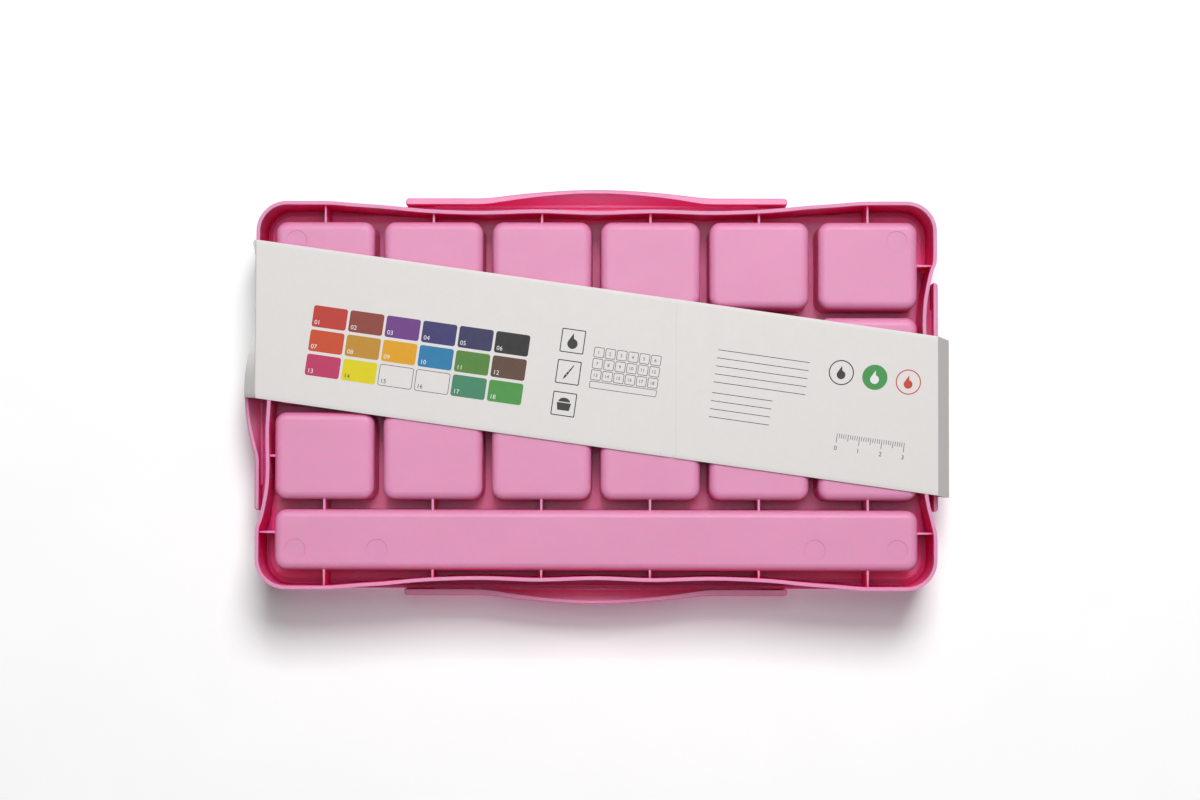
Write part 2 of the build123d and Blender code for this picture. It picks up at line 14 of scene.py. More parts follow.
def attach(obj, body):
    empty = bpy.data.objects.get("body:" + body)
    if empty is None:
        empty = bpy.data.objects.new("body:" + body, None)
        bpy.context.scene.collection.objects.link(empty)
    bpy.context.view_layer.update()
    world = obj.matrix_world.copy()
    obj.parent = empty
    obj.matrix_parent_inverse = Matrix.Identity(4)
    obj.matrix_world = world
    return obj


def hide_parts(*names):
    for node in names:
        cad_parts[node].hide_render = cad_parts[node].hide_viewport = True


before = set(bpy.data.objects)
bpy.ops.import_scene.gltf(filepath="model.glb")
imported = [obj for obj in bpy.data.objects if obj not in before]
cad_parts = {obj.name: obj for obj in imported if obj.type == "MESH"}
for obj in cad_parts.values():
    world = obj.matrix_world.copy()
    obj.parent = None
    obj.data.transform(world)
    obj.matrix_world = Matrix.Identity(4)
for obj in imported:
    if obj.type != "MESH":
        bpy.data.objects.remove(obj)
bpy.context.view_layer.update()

MM = 0.001
LOG = logging.getLogger("paint_box")
Point = tuple[float, float]
Colour = tuple[float, float, float]


# --- Colours ------------------------------------------------------------------------------------
def linear(red: int, green: int, blue: int) -> Colour:
    """Turn an 8-bit display colour into scene-linear values.

    Args:
        red: Red from 0 to 255.
        green: Green from 0 to 255.
        blue: Blue from 0 to 255.

    Returns:
        The three linear values.
    """
    def channel(value: int) -> float:
        """Return the linear value of one 8-bit channel."""
        share = value / 255
        return share / 12.92 if share <= 0.04045 else ((share + 0.055) / 1.055) ** 2.4

    return channel(red), channel(green), channel(blue)


def shade(colour: Colour, factor: float) -> Colour:
    """Return a colour made lighter or darker by a factor, kept at or under one."""
    return tuple(min(1.0, value * factor) for value in colour)


@dataclass(frozen=True)
class Gouache:
    """One paint of the set: the name of its material slot and its colour."""

    slot: str
    colour: Colour
    outlined: bool = False  # whether its printed samples are only outlined


GOUACHES = (
    Gouache("deep_red", linear(203, 66, 56)),
    Gouache("red_brown", linear(150, 72, 60)),
    Gouache("violet", linear(118, 66, 142)),
    Gouache("ultramarine", linear(64, 60, 116)),
    Gouache("deep_blue", linear(56, 55, 96)),
    Gouache("black", linear(40, 40, 42)),
    Gouache("orange_red", linear(217, 84, 50)),
    Gouache("earth_yellow", linear(207, 152, 52)),
    Gouache("medium_yellow", linear(243, 176, 32)),
    Gouache("sky_blue", linear(44, 134, 184)),
    Gouache("grass_green", linear(90, 140, 62)),
    Gouache("dark_umber", linear(98, 72, 58)),
    Gouache("rose", linear(204, 62, 108)),
    Gouache("lemon_yellow", linear(242, 226, 22)),
    Gouache("warm_white", linear(226, 225, 226), outlined=True),
    Gouache("white", linear(229, 229, 231), outlined=True),
    Gouache("jade_green", linear(72, 144, 108)),
    Gouache("pale_green", linear(82, 160, 78)),
)


# --- Finishes -----------------------------------------------------------------------------------
class ShaderTree:
    """A material under construction, with short ways to add and join its nodes."""

    def __init__(self, name: str) -> None:
        """Start a material that holds a Principled BSDF and an output.

        Args:
            name: Name of the material.
        """
        self.material = bpy.data.materials.new(name)
        self.material.use_nodes = True
        self.tree = self.material.node_tree
        self.surface = self.tree.nodes["Principled BSDF"]
        self.place = self.add("ShaderNodeTexCoord").outputs["Object"]

    def add(self, kind: str, **values: object) -> bpy.types.Node:
        """Add a node and set its sockets or properties.

        Args:
            kind: Blender's name of the node type.
            **values: Socket values and properties, with _ for a space in a socket's name.

        Returns:
            The new node.
        """
        node = self.tree.nodes.new(kind)
        for key, value in values.items():
            socket = key.replace("_", " ")
            if socket in node.inputs:
                node.inputs[socket].default_value = value
            else:
                setattr(node, key, value)
        return node

    def join(self, source: bpy.types.NodeSocket, target: bpy.types.NodeSocket) -> None:
        """Link an output to an input."""
        self.tree.links.new(source, target)

    def noise(self, scale: float, detail: float = 2.0,
              stretch: Sequence[float] = (1, 1, 1)) -> bpy.types.NodeSocket:
        """Add noise in the object's own space.

        Args:
            scale: Noise scale, in features per metre.
            detail: Octaves of the noise.
            stretch: Scale of each axis before the noise.

        Returns:
            The noise's factor output.
        """
        mapping = self.add("ShaderNodeMapping")
        mapping.inputs["Scale"].default_value = stretch
        self.join(self.place, mapping.inputs["Vector"])
        node = self.add("ShaderNodeTexNoise", Scale=scale, Detail=detail)
        self.join(mapping.outputs["Vector"], node.inputs["Vector"])
        return node.outputs["Fac"]

    def ramp(self, factor: bpy.types.NodeSocket, low: float, high: float,
             start: Colour, end: Colour) -> bpy.types.NodeSocket:
        """Grade a factor between two colours.

        Args:
            factor: Output to grade.
            low: Factor that gives the first colour.
            high: Factor that gives the second colour.
            start: First colour.
            end: Second colour.

        Returns:
            The graded colour output.
        """
        node = self.add("ShaderNodeValToRGB")
        first, last = node.color_ramp.elements
        first.position, last.position = low, high
        first.color, last.color = (*start, 1), (*end, 1)
        self.join(factor, node.inputs["Fac"])
        return node.outputs["Color"]

    def spread(self, factor: bpy.types.NodeSocket, low: float, high: float,
               start: float = 0.0, end: float = 1.0) -> bpy.types.NodeSocket:
        """Map a factor between start and end onto a range of values.

        Args:
            factor: Output to map.
            low: Value at the start.
            high: Value at the end.
            start: Factor that gives the low value.
            end: Factor that gives the high value.

        Returns:
            The mapped output.
        """
        node = self.add("ShaderNodeMapRange", interpolation_type="SMOOTHSTEP")
        node.inputs["From Min"].default_value = start
        node.inputs["From Max"].default_value = end
        node.inputs["To Min"].default_value = low
        node.inputs["To Max"].default_value = high
        self.join(factor, node.inputs["Value"])
        return node.outputs["Result"]

    def blend(self, factor: bpy.types.NodeSocket, start: Colour,
              end: bpy.types.NodeSocket) -> bpy.types.NodeSocket:
        """Blend from a plain colour to another output's colour.

        Args:
            factor: Output that says how much of the other colour shows.
            start: The plain colour.
            end: Output of the other colour.

        Returns:
            The blended colour output.
        """
        node = self.add("ShaderNodeMixRGB")
        node.inputs["Color1"].default_value = (*start, 1)
        self.join(factor, node.inputs["Fac"])
        self.join(end, node.inputs["Color2"])
        return node.outputs["Color"]

    def bump(self, heights: Iterable[tuple[bpy.types.NodeSocket, float, float]], edge: float = 0.0) -> None:
        """Stack bumps on the surface.

        Args:
            heights: For each bump, its height output, its strength and its depth in metres.
            edge: Radius that sharp edges seem to have, in millimetres.
        """
        before = None
        if edge:
            before = self.add("ShaderNodeBevel", Radius=edge * MM, samples=4).outputs["Normal"]
        for height, strength, distance in heights:
            node = self.add("ShaderNodeBump", Strength=strength, Distance=distance)
            self.join(height, node.inputs["Height"])
            if before is not None:
                self.join(before, node.inputs["Normal"])
            before = node.outputs["Normal"]
        self.join(before, self.surface.inputs["Normal"])


@dataclass(frozen=True)
class MouldedPlastic:
    """Injection-moulded plastic: faint flow marks, fine mould grain, and a painted shade and glow in its
    recesses.
    """

    name: str
    colour: Colour
    # colour painted into the recesses as their shade and glow
    deep: Colour
    inner: Colour | None = None  # painted shade of the recesses away from the outline, lighter than the rest
    core: tuple[float, float] = (145.0, 79.0)  # half length and half depth of that area, in millimetres
    core_blur: float = 1.5  # millimetres over which that area ends, to each side
    roughness: float = 0.42
    grain: float = 0.12  # strength of the mould grain
    recess: float = 0.012  # metres within which other faces shelter a point
    shelter: tuple[float, float] = (0.35, 0.90)  # openness of a full recess, where the painted shade is full, and of an open face, where it is gone
    edge: float = 0.3  # millimetres over which sharp edges catch the light
    flow_scale: float = 14.0  # flow marks, per metre, as are the next three
    gloss_scale: float = 90.0
    grain_scale: float = 5200.0
    sink_scale: float = 45.0

    def build(self) -> bpy.types.Material:
        """Build the plastic.

        Returns:
            The material.
        """
        tree = ShaderTree(self.name)
        # Painted shade and glow: where ambient occlusion finds other faces near, the colour turns to the
        # recesses' painted tone.
        openness = tree.add("ShaderNodeAmbientOcclusion", Distance=self.recess, samples=6)
        flow = tree.noise(self.flow_scale, 3, (1, 2.5, 1))
        tone = tree.ramp(flow, 0.3, 0.7, shade(self.colour, 0.965), shade(self.colour, 1.02))
        blend = tree.blend(tree.spread(openness.outputs["AO"], 0.0, 1.0, *self.shelter), self.deep, tone)
        if self.inner is not None:
            self.paint_middle_shade(tree, blend)
        tree.join(blend, tree.surface.inputs["Base Color"])
        gloss = tree.noise(self.gloss_scale, 4)
        tree.join(tree.spread(gloss, self.roughness - 0.05, self.roughness + 0.07),
                  tree.surface.inputs["Roughness"])
        tree.bump((
            (tree.noise(self.grain_scale, 2), self.grain, 0.02 * MM),
            (tree.noise(self.sink_scale, 2, (1, 1.8, 1)), 0.10, 0.25 * MM),
        ), self.edge)
        tree.surface.inputs["Subsurface Weight"].default_value = 0.6
        tree.surface.inputs["Subsurface Radius"].default_value = (5.0, 0.6, 1.8)
        tree.surface.inputs["Specular IOR Level"].default_value = 0.35
        tree.surface.inputs["Subsurface Scale"].default_value = MM
        return tree.material

    def paint_middle_shade(self, tree: ShaderTree, blend: bpy.types.NodeSocket) -> None:
        """Paint a lighter shade into the recesses of the middle area, where more light reaches.

        Args:
            tree: The material under construction.
            blend: Output of the mix between the painted recess shade and the open faces' tone.
        """
        apart = tree.add("ShaderNodeSeparateXYZ")
        tree.join(tree.place, apart.inputs["Vector"])
        past = []
        for axis, half in zip("XY", self.core):
            size = tree.add("ShaderNodeMath", operation="ABSOLUTE")
            tree.join(apart.outputs[axis], size.inputs[0])
            low, high = (half - self.core_blur) * MM, (half + self.core_blur) * MM
            past.append(tree.spread(size.outputs[0], 0.0, 1.0, low, high))
        either = tree.add("ShaderNodeMath", operation="MAXIMUM")
        for socket, value in zip(either.inputs, past):
            tree.join(value, socket)
        # Painted shade: the lighter tone inside the middle area, the full painted shade beyond it.
        tone = tree.ramp(either.outputs[0], 0.0, 1.0, self.inner, self.deep)
        tree.join(tone, blend.node.inputs["Color1"])


@dataclass(frozen=True)
class CoatedCard:
    """Coated card: smooth, with a faint fibre mottle and a slightly uneven face."""

    name: str
    colour: Colour
    roughness: float = 0.48
    fibre_scale: float = 420.0  # per metre, as are the next three
    gloss_scale: float = 160.0
    tooth_scale: float = 2400.0
    sag_scale: float = 14.0

    def build(self) -> bpy.types.Material:
        """Build the card.

        Returns:
            The material.
        """
        tree = ShaderTree(self.name)
        mottle = tree.noise(self.fibre_scale, 5)
        tone = tree.ramp(mottle, 0.35, 0.65, shade(self.colour, 0.992), shade(self.colour, 1.006))
        tree.join(tone, tree.surface.inputs["Base Color"])
        gloss = tree.noise(self.gloss_scale, 3)
        tree.join(tree.spread(gloss, self.roughness - 0.04, self.roughness + 0.06),
                  tree.surface.inputs["Roughness"])
        tree.bump((
            (tree.noise(self.tooth_scale, 4), 0.05, 0.02 * MM),
            (tree.noise(self.sag_scale, 2), 0.06, 0.5 * MM),
        ))
        return tree.material


@dataclass(frozen=True)
class PrintedInk:
    """Offset ink on card: even colour with a fine rosette break-up and a soft gloss."""

    name: str
    colour: Colour
    dot_scale: float = 3600.0  # per metre, as are the next two
    gloss_scale: float = 300.0
    tooth_scale: float = 2400.0

    def build(self) -> bpy.types.Material:
        """Build the ink.

        Returns:
            The material.
        """
        tree = ShaderTree(self.name)
        dots = tree.noise(self.dot_scale, 3)
        tone = tree.ramp(dots, 0.30, 0.75, shade(self.colour, 0.70), shade(self.colour, 0.84))
        tree.join(tone, tree.surface.inputs["Base Color"])
        gloss = tree.noise(self.gloss_scale, 2)
        tree.join(tree.spread(gloss, 0.40, 0.52), tree.surface.inputs["Roughness"])
        tree.surface.inputs["Specular IOR Level"].default_value = 0.2
        tree.bump(((tree.noise(self.tooth_scale, 4), 0.08, 0.02 * MM),))
        return tree.material


@dataclass(frozen=True)
class GouachePaste:
    """Thick paint as filled: soft swirls left by the nozzle and a moist sheen."""

    name: str
    colour: Colour
    swirl_scale: float = 38.0  # per metre, as are the next two
    gloss_scale: float = 220.0
    lump_scale: float = 700.0

    def build(self) -> bpy.types.Material:
        """Build the paint.

        Returns:
            The material.
        """
        tree = ShaderTree(self.name)
        swirl = tree.add(
            "ShaderNodeTexWave", Scale=self.swirl_scale, Distortion=7.0, Detail=2.0, wave_type="RINGS"
        )
        tree.join(tree.place, swirl.inputs["Vector"])
        tone = tree.ramp(swirl.outputs["Fac"], 0.0, 1.0, shade(self.colour, 0.88), shade(self.colour, 1.06))
        tree.join(tone, tree.surface.inputs["Base Color"])
        gloss = tree.noise(self.gloss_scale, 3)
        tree.join(tree.spread(gloss, 0.22, 0.42), tree.surface.inputs["Roughness"])
        tree.bump((
            (swirl.outputs["Fac"], 0.35, 0.5 * MM),
            (tree.noise(self.lump_scale, 3), 0.15, 0.15 * MM),
        ))
        return tree.material


@dataclass(frozen=True)
class ClearPlastic:
    """Thin clear-cast plastic of the refill cups, with a slight milkiness."""

    name: str
    tint: Colour
    alpha: float
    milk_scale: float = 60.0  # per metre, as is the next
    wave_scale: float = 80.0

    def build(self) -> bpy.types.Material:
        """Build the clear plastic.

        Returns:
            The material.
        """
        tree = ShaderTree(self.name)
        milk = tree.noise(self.milk_scale, 3)
        tone = tree.ramp(milk, 0.3, 0.7, shade(self.tint, 0.94), self.tint)
        tree.join(tone, tree.surface.inputs["Base Color"])
        tree.join(tree.spread(milk, 0.10, 0.20), tree.surface.inputs["Roughness"])
        tree.surface.inputs["Alpha"].default_value = self.alpha
        tree.bump(((tree.noise(self.wave_scale, 2), 0.10, 0.2 * MM),))
        return tree.material


@dataclass(frozen=True)
class Silicone:
    """Soft matt silicone of the rim seal."""

    name: str
    colour: Colour
    cloud_scale: float = 120.0  # per metre, as is the next
    grain_scale: float = 1800.0

    def build(self) -> bpy.types.Material:
        """Build the silicone.

        Returns:
            The material.
        """
        tree = ShaderTree(self.name)
        cloud = tree.noise(self.cloud_scale, 3)
        tree.join(tree.ramp(cloud, 0.3, 0.7, shade(self.colour, 0.93), self.colour),
                  tree.surface.inputs["Base Color"])
        tree.join(tree.spread(cloud, 0.55, 0.68), tree.surface.inputs["Roughness"])
        tree.bump(((tree.noise(self.grain_scale, 2), 0.15, 0.03 * MM),))
        return tree.material


class Finishes:
    """Every finish of the set, each built once and kept by its name."""

    PINK = linear(228, 146, 184)
    # painted shade and glow of the recesses
    PAINTED_SHADE_PINK = linear(254, 4, 134)
    # lighter painted shade of the recesses in the middle, between the wells
    PAINTED_MIDDLE_SHADE = linear(236, 112, 164)
    # painted shade and glow inside the latches' scoops
    PAINTED_SCOOP_SHADE = linear(255, 84, 170)

    def __init__(self) -> None:
        """Build the materials that several pieces share."""
        pink, deep = self.PINK, self.PAINTED_SHADE_PINK
        self.tray = MouldedPlastic("tray_pink", pink, deep, inner=self.PAINTED_MIDDLE_SHADE).build()
        self.lid = MouldedPlastic("lid_pink", shade(pink, 0.98), deep, roughness=0.38).build()
        self.latch = MouldedPlastic(
            "latch_pink", pink, self.PAINTED_SCOOP_SHADE, roughness=0.36, grain=0.08, shelter=(0.0, 0.42)
        ).build()
        # the palette's darker grey is painted shade in its recesses
        self.palette = MouldedPlastic(
            "palette_white", linear(236, 236, 238), linear(214, 214, 220), roughness=0.30, recess=0.006
        ).build()
        self.seal = Silicone("seal_silicone", linear(236, 236, 236)).build()
        self.card = CoatedCard("card", linear(213, 209, 207)).build()
        self.cup = ClearPlastic("cup_clear", linear(250, 250, 251), 0.10).build()
        self.paints = [GouachePaste(f"paint_{g.slot}", g.colour).build() for g in GOUACHES]
        self.inks = [PrintedInk(f"ink_{g.slot}", g.colour).build() for g in GOUACHES]
        self.black_ink = PrintedInk("ink_text", linear(58, 58, 60)).build()
        self.white_ink = PrintedInk("ink_paper_white", (1.0, 1.0, 1.0)).build()
        self.green_ink = PrintedInk("ink_leaf_green", linear(74, 160, 84)).build()
        self.red_ink = PrintedInk("ink_ring_red", linear(214, 78, 62)).build()


# --- Mesh helpers ---------------------------------------------------------------------------------
def dress(node: str, material: bpy.types.Material) -> None:
    """Give a carried-over CAD node its material.

    Args:
        node: Name of the node.
        material: Its finish.
    """
    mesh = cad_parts[node].data
    mesh.materials.clear()
    mesh.materials.append(material)
    LOG.info("dressed %s with %s", node, material.name)


def make_piece(name: str, points: Sequence[Vector], faces: Sequence[Sequence[int]],
               material: bpy.types.Material, smooth: bool = False) -> bpy.types.Object:
    """Make a mesh object from points in the row frame.

    Args:
        name: Name of the piece.
        points: Vertices, in metres.
        faces: Vertex numbers of each face.
        material: Its finish.
        smooth: Whether its faces are shaded smooth.

    Returns:
        The new object, linked to the scene.
    """
    mesh = bpy.data.meshes.new(name)
    mesh.from_pydata([tuple(p) for p in points], [], [tuple(f) for f in faces])
    mesh.validate()
    mesh.materials.append(material)
    mesh.polygons.foreach_set("use_smooth", [smooth] * len(mesh.polygons))
    piece = bpy.data.objects.new(name, mesh)
    bpy.context.scene.collection.objects.link(piece)
    return piece


def rounded_box_outline(length: float, depth: float, radius: float, steps: int = 5) -> list[Point]:
    """Return the outline of a rectangle with rounded corners, about its middle.

    Args:
        length: Size along the first axis.
        depth: Size along the second axis.
        radius: Corner radius.
        steps: Segments of each corner.

    Returns:
        The outline's points, counter-clockwise.
    """
    points = []
    for corner, (sx, sy) in enumerate(((1, 1), (-1, 1), (-1, -1), (1, -1))):
        centre = sx * (length / 2 - radius), sy * (depth / 2 - radius)
        for step in range(steps + 1):
            angle = (corner + step / steps) * math.pi / 2
            points.append((centre[0] + radius * math.cos(angle), centre[1] + radius * math.sin(angle)))
    return points


def round_outline(radius: float, x: float, y: float, count: int) -> list[Point]:
    """Return the points of a circle.

    Args:
        radius: Its radius.
        x: Its middle along the first axis.
        y: Its middle along the second axis.
        count: Number of points.

    Returns:
        The circle's points, counter-clockwise.
    """
    turns = [2 * math.pi * i / count for i in range(count)]
    return [(x + radius * math.cos(a), y + radius * math.sin(a)) for a in turns]


def moved(outline: Sequence[Point], x: float, y: float) -> list[Point]:
    """Return an outline moved by x and y."""
    return [(x + px, y + py) for px, py in outline]


# --- Printing -------------------------------------------------------------------------------------
@dataclass
class PrintSheet:
    """Flat printing on one face of the card, laid out in millimetres right and up from its middle."""

    name: str
    origin: Vector
    right: Vector
    up: Vector
    body: str  # what it rides with
    slot: str  # name of the material slot of the card it lies on
    film: float = 0.012 * MM  # thickness of one layer of ink, in metres
    figure_share: float = 0.72  # height of a figure in a line of text

    def at(self, right: float, up: float, layer: int) -> Vector:
        """Return the point of the row frame for a place on the sheet.

        Args:
            right: Millimetres to the right of the middle.
            up: Millimetres above the middle.
            layer: Number of ink films between the card and the point.

        Returns:
            The point in metres.
        """
        normal = self.right.cross(self.up)
        return self.origin + self.right * right * MM + self.up * up * MM + normal * self.film * layer

    def register(self, piece: bpy.types.Object) -> bpy.types.Object:
        """Let a printed piece ride with the card.

        Args:
            piece: The piece.

        Returns:
            The same piece.
        """
        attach(piece, self.body)
        return piece

    def area(self, name: str, outline: Sequence[Point], material: bpy.types.Material, layer: int = 1,
             hole: Sequence[Point] | None = None) -> bpy.types.Object:
        """Print a filled outline, or the ring between an outline and a hole with as many points.

        Args:
            name: Name of the piece.
            outline: Outer outline in millimetres on the sheet.
            material: The ink.
            layer: Ink film it lies on.
            hole: Inner outline of a ring.

        Returns:
            The printed piece.
        """
        points = [self.at(*p, layer) for p in outline]
        faces = [list(range(len(points)))]
        if hole is not None:
            points += [self.at(*p, layer) for p in hole]
            count = len(outline)
            faces = [
                (i, (i + 1) % count, count + (i + 1) % count, count + i)
                for i in range(count)
            ]
        return self.register(make_piece(name, points, faces, material))

    def figures(self, name: str, text: str, right: float, up: float, height: float,
                material: bpy.types.Material, layer: int = 2) -> bpy.types.Object:
        """Print plain figures.

        Args:
            name: Name of the piece.
            text: The figures.
            right: Left end of the line, in millimetres.
            up: Foot of the line, in millimetres.
            height: Height of a figure, in millimetres.
            material: The ink.
            layer: Ink film they lie on.

        Returns:
            The printed piece.
        """
        curve = bpy.data.curves.new(f"{name}_line", "FONT")
        curve.body = text
        curve.size = height * MM / self.figure_share
        curve.resolution_u = 3
        line = bpy.data.objects.new(f"{name}_line", curve)
        bpy.context.scene.collection.objects.link(line)
        bpy.context.view_layer.update()
        mesh = bpy.data.meshes.new_from_object(line.evaluated_get(bpy.context.evaluated_depsgraph_get()))
        bpy.data.objects.remove(line)
        normal = self.right.cross(self.up)
        foot = self.at(right, up, layer)
        turn = Matrix((
            (self.right.x, self.up.x, normal.x, foot.x),
            (self.right.y, self.up.y, normal.y, foot.y),
            (self.right.z, self.up.z, normal.z, foot.z),
            (0, 0, 0, 1),
        ))
        mesh.transform(turn)
        mesh.materials.clear()
        mesh.materials.append(material)
        piece = bpy.data.objects.new(name, mesh)
        bpy.context.scene.collection.objects.link(piece)
        return self.register(piece)


# --- Card band ------------------------------------------------------------------------------------
@dataclass
class BellyBand:
    """The card band round the closed set: a skewed loop with soft folds, a seam below and its printing."""

    finishes: Finishes
    thickness: float = 0.3  # all sizes in millimetres
    width: float = 70.0
    skew: float = 8.0
    middle_y: float = 12.5
    seam_x: float = -35.6
    overlap: float = 14.0
    fold_x: float = 151.9
    low_z: float = 0.08
    tuck: float = 0.45
    lip_z: float = 17.4
    shoulder_z: float = 43.8
    shoulder_reach: float = 2.3
    top_z: float = 46.55
    lip_flat: float = 2.6  # reach over the straight ends of a latch's lip
    lip_flare: float = 4.8  # further reach over the middle of the lip
    flare_half: float = 30.0
    latch_half: float = 51.5
    bare_reach: float = 2.0  # reach beyond the latch's end
    release: tuple[float, float] = (9.0, 12.0)  # where the card leaves the latch, before its end, and the run
    curl: tuple[float, float, float] = (1.6, 58.0, 11.0)  # the loose corner: its reach, start and run
    pull: float = 0.4  # the folds stand this far inside the reaches
    sheet_gap: float = 0.01  # printing above the card
    print_shift: float = 2.2  # the printing stands this far off the middle, to the left seen from below
    rows: int = 36

    def centre_y(self, x: float) -> float:
        """Return the y of the band's middle line at an x, in millimetres."""
        return self.middle_y + x * math.tan(math.radians(self.skew))

    def lip_reach(self, y: float) -> float:
        """Return how far the +X end stands out where it lies over the latch.

        Args:
            y: Place along that end.

        Returns:
            The reach beyond the fold below, in millimetres.
        """
        share = min(1.0, abs(y) / self.flare_half)
        over_lip = self.lip_flat + self.lip_flare * (1 - share ** 2.2) ** 1.3
        before, length = self.release
        past = min(1.0, max(0.0, (abs(y) - self.latch_half + before) / length))
        past = past * past * (3 - 2 * past)
        reach, start, run = self.curl
        curl = reach * max(0.0, (abs(y) - start) / run) ** 1.5
        return over_lip + (self.bare_reach - over_lip) * past + curl

    def section(self, across: float) -> list[tuple[float, float, float]]:
        """Return one strand of the loop, from the outer flap round to the tucked end.

        Args:
            across: Place across the band from -1 (towards the trough) to 1.

        Returns:
            For each point its x, its z, and the radius of the fold there, in millimetres.
        """
        end = self.fold_x
        half = self.width / 2 / math.cos(math.radians(self.skew))
        loose = self.lip_reach(self.centre_y(end) + across * half)
        taut = self.lip_flat + self.lip_flare
        return [
            (self.seam_x, self.low_z, 0.0),
            (-end, self.low_z, 0.5),
            (-end - taut + self.pull, self.lip_z, 6.0),
            (-end - self.shoulder_reach, self.shoulder_z, 3.0),
            (-end + self.pull, self.top_z, 1.2),
            (end - self.pull, self.top_z, 1.2),
            (end + self.shoulder_reach, self.shoulder_z, 3.0),
            (end + loose - self.pull, self.lip_z, 5.0),
            (end, self.low_z, 0.9),
            (self.seam_x + 7, self.low_z, 4.0),
            (self.seam_x + 1.2, self.low_z + self.tuck, 4.0),
            (self.seam_x - self.overlap, self.low_z + self.tuck, 0.0),
        ]

    @staticmethod
    def soften(corners: Sequence[tuple[float, float, float]], arc_steps: int = 5) -> list[Point]:
        """Round the folds of a strand.

        Args:
            corners: Its corner points with the radius of each fold.
            arc_steps: Segments of each fold.

        Returns:
            The points of the rounded strand, the same number for every strand.
        """
        points: list[Point] = [corners[0][:2]]
        for before, here, after in zip(corners, corners[1:], corners[2:]):
            corner = Vector(here[:2])
            into, out = (corner - Vector(before[:2])), (Vector(after[:2]) - corner)
            turn = into.angle(out)
            cut = min(here[2] * math.tan(turn / 2), 0.45 * into.length, 0.45 * out.length)
            start, end = corner - into.normalized() * cut, corner + out.normalized() * cut
            for step in range(arc_steps + 1):
                share = step / arc_steps
                near = start.lerp(corner, share)
                far = corner.lerp(end, share)
                points.append(tuple(near.lerp(far, share)))
        points.append(corners[-1][:2])
        return points

    def build_card(self) -> bpy.types.Object:
        """Make the card itself, which stands for the plain solid of the band.

        Returns:
            The card.
        """
        points: list[Vector] = []
        count = 0
        for row in range(self.rows + 1):
            across = 2 * row / self.rows - 1
            strand = self.soften(self.section(across))
            count = len(strand)
            for x, z in strand:
                y = self.centre_y(x) + across * self.width / 2 / math.cos(math.radians(self.skew))
                points.append(Vector((x, y, z)) * MM)
        faces = [
            (row * count + i, row * count + i + 1, (row + 1) * count + i + 1, (row + 1) * count + i)
            for row in range(self.rows)
            for i in range(count - 1)
        ]
        card = make_piece("card_band", points, faces, self.finishes.card, smooth=True)
        mesh = bmesh.new()
        mesh.from_mesh(card.data)
        bmesh.ops.recalc_face_normals(mesh, faces=mesh.faces)
        mesh.to_mesh(card.data)
        mesh.free()
        # The underside has to face down, or the card would thicken outwards.
        low = min(card.data.polygons, key=lambda p: p.center.z + abs(p.center.x + 0.1) * 0.001)
        if low.normal.z > 0:
            card.data.flip_normals()
        thick = card.modifiers.new("card_thickness", "SOLIDIFY")
        thick.thickness = self.thickness * MM
        thick.offset = -1.0
        card.modifiers.new("flat_panels", "WEIGHTED_NORMAL").keep_sharp = True
        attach(card, "band")
        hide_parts("belly_band")
        LOG.info("built card_band with %d faces", len(card.data.polygons))
        return card

    def print_below(self) -> None:
        """Print the underside: colour chips, signs, a plan of the cups, marks, a scale and writing lines."""
        angle = math.radians(self.skew)
        along = Vector((-math.cos(angle), -math.sin(angle), 0))
        across = Vector((-math.sin(angle), math.cos(angle), 0))
        middle = Vector((0, self.middle_y, self.low_z - self.sheet_gap)) + along * self.print_shift
        face = PrintSheet("under", middle * MM, along, across, "band", "card")
        self.print_chips(face)
        self.print_signs(face)
        self.print_plan(face)
        self.print_rings(face)
        self.print_lines(face)
        LOG.info("printed the underside of the band")

    def print_chips(self, face: PrintSheet) -> None:
        """Print the eighteen colour chips with their plain numbers.

        Args:
            face: The sheet to print on.
        """
        left, top = -130.2, 9.8
        columns, pitch_x, pitch_y = 6, 16.4, 10.9
        length, depth, corner = 15.3, 9.6, 1.1
        figure_right, figure_up, figure_height = 1.0, 1.2, 2.0
        chip = rounded_box_outline(length, depth, corner)
        inner = rounded_box_outline(length - 0.5, depth - 0.5, corner - 0.2)
        for index, gouache in enumerate(GOUACHES):
            x = left + index % columns * pitch_x + length / 2
            y = top - index // columns * pitch_y - depth / 2
            number = f"{index + 1:02d}"
            self.print_colour(face, f"chip_{number}", index, moved(chip, x, y), moved(inner, x, y))
            dark = gouache.outlined or gouache.slot == "lemon_yellow"
            face.figures(
                f"chip_number_{number}", number, x - length / 2 + figure_right, y - depth / 2 + figure_up,
                figure_height, self.finishes.black_ink if dark else self.finishes.white_ink,
            )

    def print_colour(self, face: PrintSheet, name: str, index: int, outline: Sequence[Point],
                     hole: Sequence[Point]) -> None:
        """Print one sample of a paint, which is only outlined where the paint is white.

        Args:
            face: The sheet to print on.
            name: Name of the piece.
            index: Number of the paint, from 0.
            outline: The sample's outline.
            hole: Inner outline, for a white paint.
        """
        if GOUACHES[index].outlined:
            face.area(name, outline, self.finishes.black_ink, hole=hole)
        else:
            face.area(name, outline, self.finishes.inks[index])

